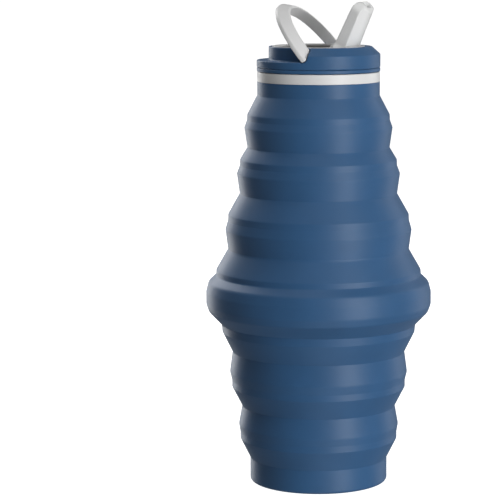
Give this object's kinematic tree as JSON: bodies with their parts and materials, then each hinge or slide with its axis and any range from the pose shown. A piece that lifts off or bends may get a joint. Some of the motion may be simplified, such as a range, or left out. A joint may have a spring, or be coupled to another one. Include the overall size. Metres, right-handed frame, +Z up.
{
  "type": "folding water bottle",
  "caption": "Folding silicone water bottle with ridged collapsing wall, screw-in lid, carry handle and flip-up drinking spout.",
  "frame": {"origin": "centre of the base on the surface the bottle stands on", "axes": "+Z up along the bottle axis, -X towards the side the carry handle folds to, +X towards the side the spout leans to"},
  "size_m": [0.1022, 0.1022, 0.2189],
  "materials": {
    "silicone_blue": "matte soft-touch silicone, slate blue",
    "lid_blue": "satin moulded plastic, slate blue",
    "liner_grey": "satin moulded plastic, mid grey",
    "pale_plastic": "satin moulded plastic, light grey",
    "spout_white": "smooth satin plastic, near white",
    "seal_silicone": "translucent grey silicone"
  },
  "bodies": {
    "base": {"base_cup": "silicone_blue", "web_base_l2": "silicone_blue"},
    "ring_low": {"ring_l2": "silicone_blue", "web_l2_l1": "silicone_blue"},
    "ring_mid": {"ring_l1": "silicone_blue", "web_l1_belt": "silicone_blue"},
    "belt": {"belt_band": "silicone_blue", "web_belt_u3": "silicone_blue"},
    "ring_up_3": {"ring_u3": "silicone_blue", "web_u3_u2": "silicone_blue"},
    "ring_up_2": {"ring_u2": "silicone_blue", "web_u2_u1": "silicone_blue"},
    "ring_up_1": {"ring_u1": "silicone_blue", "web_u1_neck": "silicone_blue"},
    "neck": {"neck_sleeve": "silicone_blue", "collar": "pale_plastic"},
    "gasket": {"lid_gasket": "seal_silicone"},
    "lid": {"lid_plug": "lid_blue", "lid_shell": "lid_blue", "lid_liner": "liner_grey", "recess_rim": "pale_plastic", "spout_seal": "seal_silicone", "vent_valve": "seal_silicone"},
    "spout": {"spout": "spout_white"},
    "handle": {"handle": "pale_plastic"}
  },
  "joints": [
    {"name": "fold_base", "type": "slide", "parent": "base", "child": "ring_low", "axis": [0, 0, -1], "range_m": [0, 0.0195], "deforming": ["web_base_l2"]},
    {"name": "fold_low", "type": "slide", "parent": "ring_low", "child": "ring_mid", "axis": [0, 0, -1], "range_m": [0, 0.02401], "deforming": ["web_l2_l1"]},
    {"name": "fold_mid", "type": "slide", "parent": "ring_mid", "child": "belt", "axis": [0, 0, -1], "range_m": [0, 0.02291], "deforming": ["web_l1_belt"]},
    {"name": "fold_belt", "type": "slide", "parent": "belt", "child": "ring_up_3", "axis": [0, 0, -1], "range_m": [0, 0.02331], "deforming": ["web_belt_u3"]},
    {"name": "fold_up_3", "type": "slide", "parent": "ring_up_3", "child": "ring_up_2", "axis": [0, 0, -1], "range_m": [0, 0.02481], "deforming": ["web_u3_u2"]},
    {"name": "fold_up_2", "type": "slide", "parent": "ring_up_2", "child": "ring_up_1", "axis": [0, 0, -1], "range_m": [0, 0.02021], "deforming": ["web_u2_u1"]},
    {"name": "fold_up_1", "type": "slide", "parent": "ring_up_1", "child": "neck", "axis": [0, 0, -1], "range_m": [0, 0.01771], "deforming": ["web_u1_neck"]},
    {"name": "lid_lift", "type": "slide", "parent": "neck", "child": "gasket", "axis": [0, 0, 1], "range_m": [0, 0.024]},
    {"name": "lid_turn", "type": "hinge", "parent": "gasket", "child": "lid", "pos_m": [0, 0, 0.1873], "axis": [0, 0, 1], "range_deg": [0, 1080]},
    {"name": "handle_hinge", "type": "hinge", "parent": "lid", "child": "handle", "pos_m": [0.00085, 0, 0.1949], "axis": [0, 1, 0], "range_deg": [-51, 5]},
    {"name": "spout_hinge", "type": "hinge", "parent": "lid", "child": "spout", "pos_m": [0.0123, 0, 0.195], "axis": [0, 1, 0], "range_deg": [-114, 0]}
  ],
  "couplings": [
    {"joint": "fold_low", "follows": "fold_base", "ratio": 1.2308},
    {"joint": "fold_mid", "follows": "fold_base", "ratio": 1.1744},
    {"joint": "fold_belt", "follows": "fold_base", "ratio": 1.1949},
    {"joint": "fold_up_3", "follows": "fold_base", "ratio": 1.2718},
    {"joint": "fold_up_2", "follows": "fold_base", "ratio": 1.0359},
    {"joint": "fold_up_1", "follows": "fold_base", "ratio": 0.90769},
    {"joint": "lid_lift", "follows": "lid_turn", "m_per_rad": 0.0012732}
  ]
}
